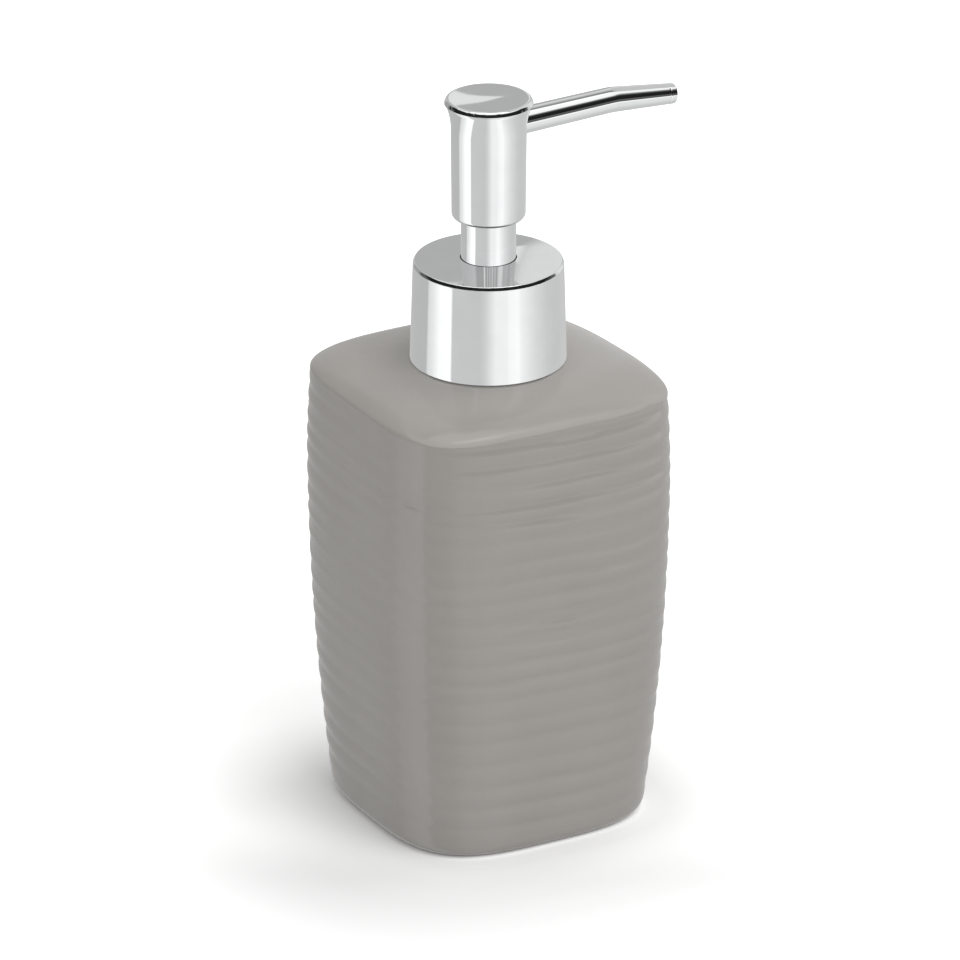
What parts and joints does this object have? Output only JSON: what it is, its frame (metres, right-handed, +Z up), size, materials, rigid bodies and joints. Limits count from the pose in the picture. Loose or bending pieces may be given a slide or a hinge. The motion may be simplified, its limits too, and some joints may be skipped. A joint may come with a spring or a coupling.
{
  "type": "soap dispenser",
  "caption": "Square-shouldered glazed ceramic soap dispenser with rippled sides and a chromed hand pump with a slim bent spout.",
  "frame": {"origin": "centre of the bottle's flat foot, on the pump's vertical axis", "axes": "+Z up along the pump's axis, +X along the spout at rest, square to one flat side of the bottle, +Y to the left of the spout seen from above"},
  "size_m": [0.0868, 0.074, 0.1788],
  "materials": {
    "glaze": "glossy warm grey glaze",
    "chrome": "mirror chrome plating",
    "white_plastic": "moulded polypropylene",
    "clear_tube": "milky polyethylene",
    "rubber": "soft grey elastomer",
    "steel": "bright stainless steel"
  },
  "bodies": {
    "vessel": {"bottle": "glaze", "neck_insert": "white_plastic"},
    "pump": {"pump_housing": "white_plastic", "neck_gasket": "rubber", "guide_cap": "white_plastic", "stem_wiper": "rubber", "ball_cage": "white_plastic", "dip_tube": "clear_tube"},
    "closure": {"closure_nut": "white_plastic", "collar_cover": "chrome"},
    "plunger": {"piston_seal": "rubber", "piston_carrier": "white_plastic", "return_spring": "steel"},
    "head": {"pump_stem": "white_plastic", "stem_sleeve": "chrome", "head_shell": "chrome", "head_cap": "chrome", "head_core": "white_plastic", "spout_tube": "chrome", "spout_liner": "white_plastic"},
    "inlet_valve": {"inlet_ball": "steel"},
    "outlet_valve": {"outlet_ball": "steel"}
  },
  "joints": [
    {"name": "closure_rise", "type": "slide", "parent": "vessel", "child": "pump", "axis": [0, 0, 1], "range_m": [0, 0.00508]},
    {"name": "closure_twist", "type": "hinge", "parent": "pump", "child": "closure", "pos_m": [0, 0, 0.1156], "axis": [0, 0, 1], "range_deg": [0, 576]},
    {"name": "pump_stroke", "type": "slide", "parent": "pump", "child": "plunger", "axis": [0, 0, -1], "range_m": [0, 0.0092], "stiffness_N_per_m": 900, "springref_m": -0.006, "deforming": ["return_spring"]},
    {"name": "head_swivel", "type": "hinge", "parent": "plunger", "child": "head", "pos_m": [0, 0, 0.14915], "axis": [0, 0, 1], "continuous": true},
    {"name": "inlet_ball_lift", "type": "slide", "parent": "pump", "child": "inlet_valve", "axis": [0, 0, 1], "range_m": [0, 0.0012]},
    {"name": "outlet_ball_lift", "type": "slide", "parent": "head", "child": "outlet_valve", "axis": [0, 0, 1], "range_m": [0, 0.0012]}
  ],
  "couplings": [
    {"joint": "closure_twist", "follows": "closure_rise", "rad_per_m": 1979}
  ]
}
